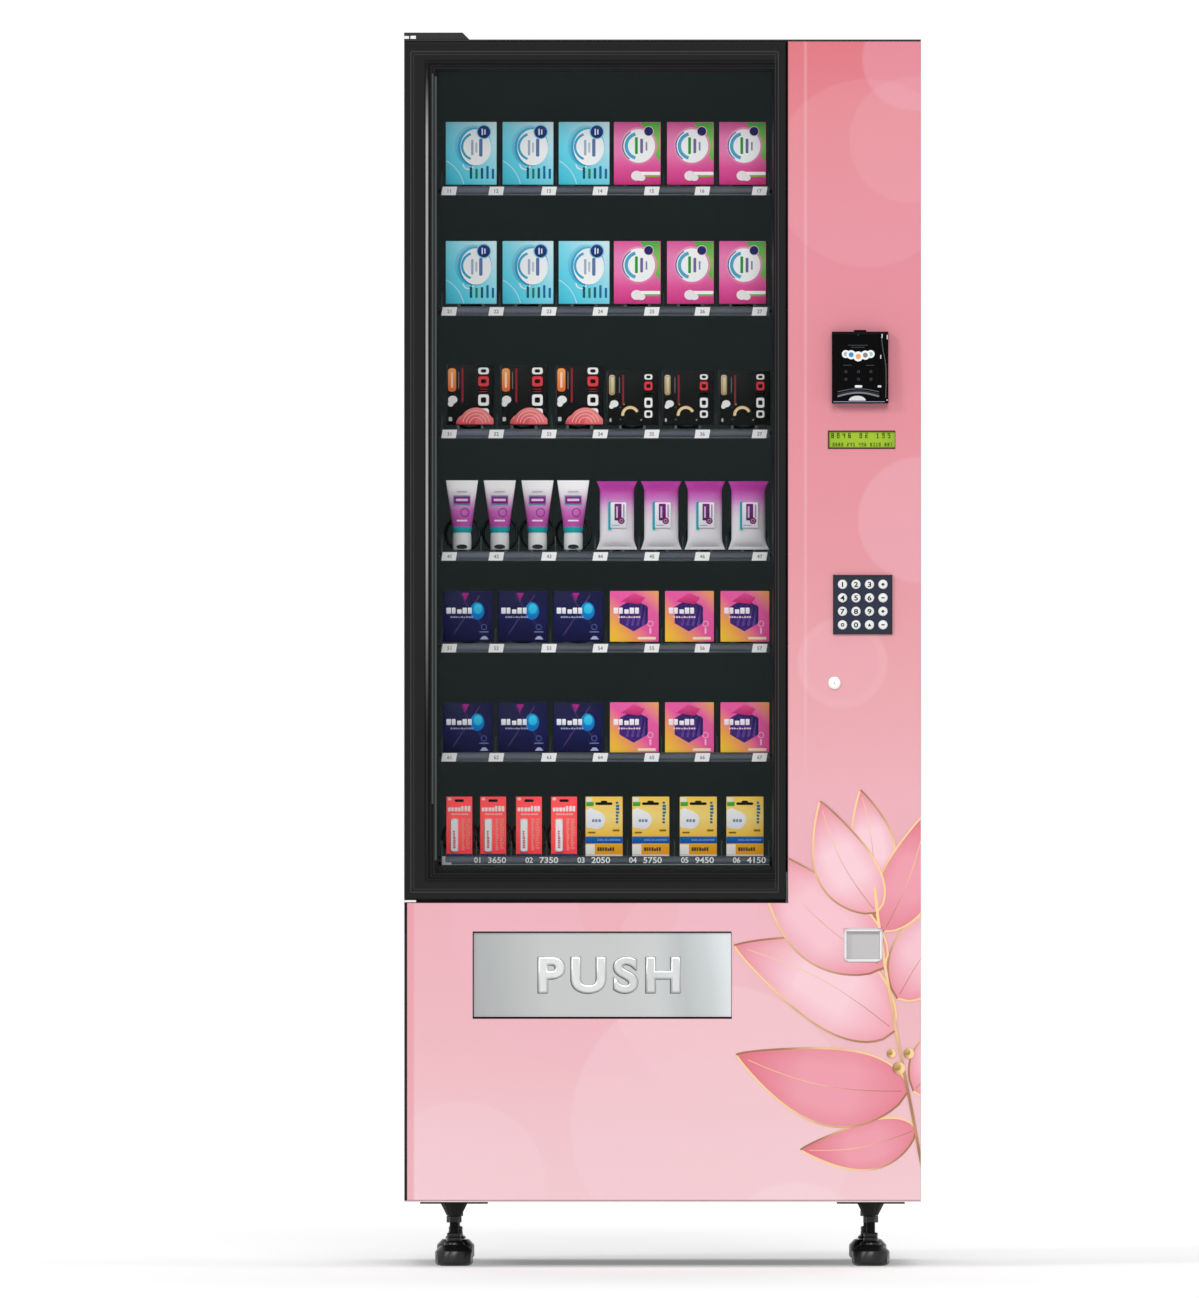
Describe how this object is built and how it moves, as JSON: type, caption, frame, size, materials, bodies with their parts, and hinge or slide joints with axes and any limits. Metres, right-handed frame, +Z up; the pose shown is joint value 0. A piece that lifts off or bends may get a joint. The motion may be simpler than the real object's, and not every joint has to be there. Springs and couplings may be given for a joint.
{
  "type": "sanitary napkin vending machine",
  "caption": "Slim free-standing vending machine: glass door over spiral product trays, control column and push-flap delivery port on one L-shaped service door.",
  "frame": {"origin": "on the floor, under the middle of the machine's bounding box", "axes": "+Z up, -Y towards the customer, +X to the customer's right"},
  "size_m": [0.77, 0.824, 1.8393],
  "materials": {
    "black_powder_coat": "black powder coat",
    "black_aluminium": "satin black coated extrusion",
    "pink_wrap": "printed pink film, satin",
    "brushed_steel": "brushed",
    "zinc_plate": "zinc plated",
    "spiral_wire": "black coated wire",
    "lock_chrome": "polished",
    "door_glass": "clear tempered",
    "black_plastic": "satin",
    "black_gloss": "gloss",
    "display_window": "clear window over a yellow-green display",
    "navy_plastic": "fine matt",
    "white_plastic": "satin",
    "grey_plastic": "satin",
    "printed_board": "printed and varnished",
    "black_rubber": "moulded"
  },
  "bodies": {
    "cabinet": {"left_side_panel": "black_powder_coat", "right_side_panel": "black_powder_coat", "column_partition": "black_powder_coat", "top_panel": "black_powder_coat", "base_pan": "black_powder_coat", "rear_panel": "black_powder_coat", "product_tray_1": "black_powder_coat", "product_tray_2": "black_powder_coat", "product_tray_3": "black_powder_coat", "product_tray_4": "black_powder_coat", "product_tray_5": "black_powder_coat", "product_tray_6": "black_powder_coat", "product_tray_7": "black_powder_coat", "front_packs_1": "printed_board", "front_packs_2": "printed_board", "front_packs_3": "printed_board", "front_packs_4": "printed_board", "front_packs_5": "printed_board", "front_packs_6": "printed_board", "front_packs_7": "printed_board", "hinge_cover": "black_plastic", "lower_door_hinge": "zinc_plate", "delivery_bin": "zinc_plate", "control_box": "zinc_plate"},
    "glass_door": {"door_frame": "black_aluminium", "door_glass": "door_glass"},
    "service_door": {"service_door_skin": "pink_wrap", "card_reader": "black_gloss", "display": "display_window", "keypad_body": "navy_plastic", "coin_cup": "white_plastic"},
    "lock": {"cam_lock": "lock_chrome"},
    "flap": {"push_flap": "brushed_steel"},
    "coin_door": {"coin_flap": "grey_plastic"},
    "button_01": {"key_01": "white_plastic"},
    "button_02": {"key_02": "white_plastic"},
    "button_03": {"key_03": "white_plastic"},
    "button_04": {"key_04": "white_plastic"},
    "button_05": {"key_05": "white_plastic"},
    "button_06": {"key_06": "white_plastic"},
    "button_07": {"key_07": "white_plastic"},
    "button_08": {"key_08": "white_plastic"},
    "button_09": {"key_09": "white_plastic"},
    "button_10": {"key_10": "white_plastic"},
    "button_11": {"key_11": "white_plastic"},
    "button_12": {"key_12": "white_plastic"},
    "button_13": {"key_13": "white_plastic"},
    "button_14": {"key_14": "white_plastic"},
    "button_15": {"key_15": "white_plastic"},
    "button_16": {"key_16": "white_plastic"},
    "coil_1": {"spiral_1": "spiral_wire"},
    "coil_2": {"spiral_2": "spiral_wire"},
    "coil_3": {"spiral_3": "spiral_wire"},
    "coil_4": {"spiral_4": "spiral_wire"},
    "coil_5": {"spiral_5": "spiral_wire"},
    "coil_6": {"spiral_6": "spiral_wire"},
    "foot_fl": {"front_left_foot": "black_rubber"},
    "foot_fr": {"front_right_foot": "black_rubber"},
    "foot_rl": {"rear_left_foot": "black_rubber"},
    "foot_rr": {"rear_right_foot": "black_rubber"}
  },
  "joints": [
    {"name": "glass_door_hinge", "type": "hinge", "parent": "cabinet", "child": "glass_door", "pos_m": [-0.376, -0.368, 0.547], "axis": [0, 0, -1], "range_deg": [0, 110]},
    {"name": "service_door_hinge", "type": "hinge", "parent": "cabinet", "child": "service_door", "pos_m": [0.376, -0.368, 0.0992], "axis": [0, 0, 1], "range_deg": [0, 100]},
    {"name": "lock_turn", "type": "hinge", "parent": "service_door", "child": "lock", "pos_m": [0.256, -0.388, 0.87], "axis": [0, 1, 0], "range_deg": [0, 90]},
    {"name": "push_flap_hinge", "type": "hinge", "parent": "service_door", "child": "flap", "pos_m": [-0.0893, -0.3827, 0.5018], "axis": [1, 0, 0], "range_deg": [0, 75]},
    {"name": "coin_flap_hinge", "type": "hinge", "parent": "service_door", "child": "coin_door", "pos_m": [0.299, -0.381, 0.4965], "axis": [1, 0, 0], "range_deg": [0, 50]},
    {"name": "key_01_press", "type": "slide", "parent": "service_door", "child": "button_01", "axis": [0, 1, 0], "range_m": [0, 0.002], "stiffness_N_per_m": 300},
    {"name": "key_02_press", "type": "slide", "parent": "service_door", "child": "button_02", "axis": [0, 1, 0], "range_m": [0, 0.002], "stiffness_N_per_m": 300},
    {"name": "key_03_press", "type": "slide", "parent": "service_door", "child": "button_03", "axis": [0, 1, 0], "range_m": [0, 0.002], "stiffness_N_per_m": 300},
    {"name": "key_04_press", "type": "slide", "parent": "service_door", "child": "button_04", "axis": [0, 1, 0], "range_m": [0, 0.002], "stiffness_N_per_m": 300},
    {"name": "key_05_press", "type": "slide", "parent": "service_door", "child": "button_05", "axis": [0, 1, 0], "range_m": [0, 0.002], "stiffness_N_per_m": 300},
    {"name": "key_06_press", "type": "slide", "parent": "service_door", "child": "button_06", "axis": [0, 1, 0], "range_m": [0, 0.002], "stiffness_N_per_m": 300},
    {"name": "key_07_press", "type": "slide", "parent": "service_door", "child": "button_07", "axis": [0, 1, 0], "range_m": [0, 0.002], "stiffness_N_per_m": 300},
    {"name": "key_08_press", "type": "slide", "parent": "service_door", "child": "button_08", "axis": [0, 1, 0], "range_m": [0, 0.002], "stiffness_N_per_m": 300},
    {"name": "key_09_press", "type": "slide", "parent": "service_door", "child": "button_09", "axis": [0, 1, 0], "range_m": [0, 0.002], "stiffness_N_per_m": 300},
    {"name": "key_10_press", "type": "slide", "parent": "service_door", "child": "button_10", "axis": [0, 1, 0], "range_m": [0, 0.002], "stiffness_N_per_m": 300},
    {"name": "key_11_press", "type": "slide", "parent": "service_door", "child": "button_11", "axis": [0, 1, 0], "range_m": [0, 0.002], "stiffness_N_per_m": 300},
    {"name": "key_12_press", "type": "slide", "parent": "service_door", "child": "button_12", "axis": [0, 1, 0], "range_m": [0, 0.002], "stiffness_N_per_m": 300},
    {"name": "key_13_press", "type": "slide", "parent": "service_door", "child": "button_13", "axis": [0, 1, 0], "range_m": [0, 0.002], "stiffness_N_per_m": 300},
    {"name": "key_14_press", "type": "slide", "parent": "service_door", "child": "button_14", "axis": [0, 1, 0], "range_m": [0, 0.002], "stiffness_N_per_m": 300},
    {"name": "key_15_press", "type": "slide", "parent": "service_door", "child": "button_15", "axis": [0, 1, 0], "range_m": [0, 0.002], "stiffness_N_per_m": 300},
    {"name": "key_16_press", "type": "slide", "parent": "service_door", "child": "button_16", "axis": [0, 1, 0], "range_m": [0, 0.002], "stiffness_N_per_m": 300},
    {"name": "spiral_1_turn", "type": "hinge", "parent": "cabinet", "child": "coil_1", "pos_m": [-0.28566, -0.238, 1.645], "axis": [0, 1, 0], "continuous": true},
    {"name": "spiral_2_turn", "type": "hinge", "parent": "cabinet", "child": "coil_2", "pos_m": [-0.20081, -0.238, 1.645], "axis": [0, 1, 0], "continuous": true},
    {"name": "spiral_3_turn", "type": "hinge", "parent": "cabinet", "child": "coil_3", "pos_m": [-0.11693, -0.238, 1.645], "axis": [0, 1, 0], "continuous": true},
    {"name": "spiral_4_turn", "type": "hinge", "parent": "cabinet", "child": "coil_4", "pos_m": [-0.03747, -0.238, 1.645], "axis": [0, 1, 0], "continuous": true},
    {"name": "spiral_5_turn", "type": "hinge", "parent": "cabinet", "child": "coil_5", "pos_m": [0.04199, -0.238, 1.645], "axis": [0, 1, 0], "continuous": true},
    {"name": "spiral_6_turn", "type": "hinge", "parent": "cabinet", "child": "coil_6", "pos_m": [0.11998, -0.238, 1.645], "axis": [0, 1, 0], "continuous": true},
    {"name": "front_left_foot_turn", "type": "hinge", "parent": "cabinet", "child": "foot_fl", "pos_m": [-0.311, -0.278, 0], "axis": [0, 0, 1], "continuous": true},
    {"name": "front_right_foot_turn", "type": "hinge", "parent": "cabinet", "child": "foot_fr", "pos_m": [0.311, -0.278, 0], "axis": [0, 0, 1], "continuous": true},
    {"name": "rear_left_foot_turn", "type": "hinge", "parent": "cabinet", "child": "foot_rl", "pos_m": [-0.311, 0.35, 0], "axis": [0, 0, 1], "continuous": true},
    {"name": "rear_right_foot_turn", "type": "hinge", "parent": "cabinet", "child": "foot_rr", "pos_m": [0.311, 0.35, 0], "axis": [0, 0, 1], "continuous": true}
  ]
}
